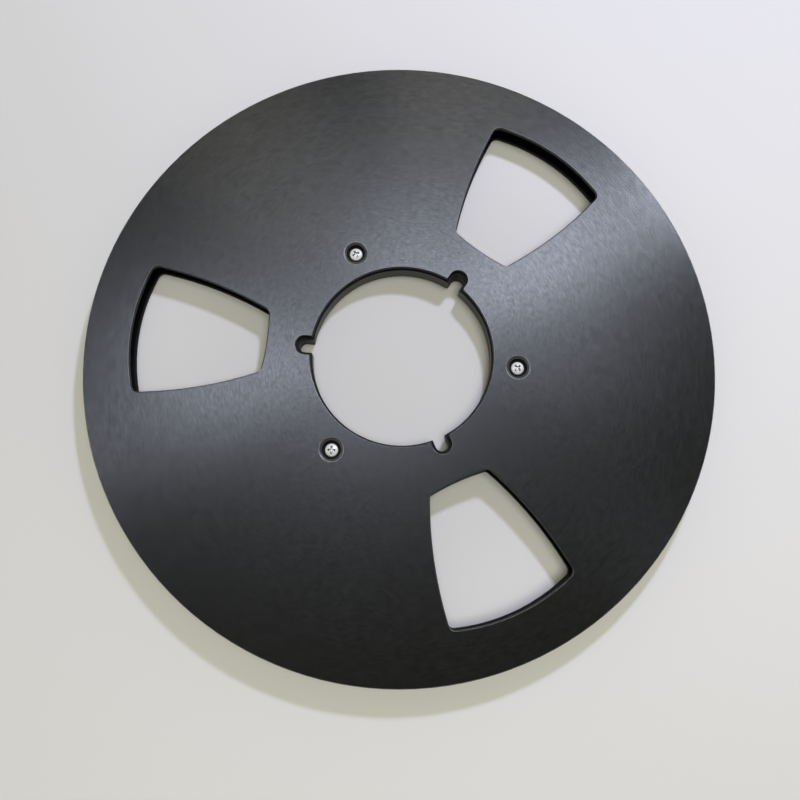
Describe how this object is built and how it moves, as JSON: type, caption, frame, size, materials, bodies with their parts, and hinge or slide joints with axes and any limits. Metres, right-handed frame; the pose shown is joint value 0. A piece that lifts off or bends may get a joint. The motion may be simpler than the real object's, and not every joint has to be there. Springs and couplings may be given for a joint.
{
  "type": "audio tape reel",
  "caption": "Large-hole metal reel for quarter-inch audio tape: black spun flanges with curved windows and drive notches, screwed to a slotted ring hub.",
  "frame": {"origin": "centre of the hub bore, in the plane of the rear flange's outer face, so the reel lies on it", "axes": "+Z along the reel's axis from the rear flange to the front flange; +Y along the middle line of one window, one drive notch and one hub slot"},
  "size_m": [0.2666, 0.2666, 0.0125],
  "materials": {
    "flange": "black anodised over circular brushing",
    "hub": "grey anodised, turned",
    "screw": "bright zinc plated"
  },
  "bodies": {
    "root": {"front_flange": "flange", "rear_flange": "flange", "hub": "hub", "front_screw_1": "screw", "front_screw_2": "screw", "front_screw_3": "screw", "rear_screw_1": "screw", "rear_screw_2": "screw", "rear_screw_3": "screw"}
  },
  "joints": []
}
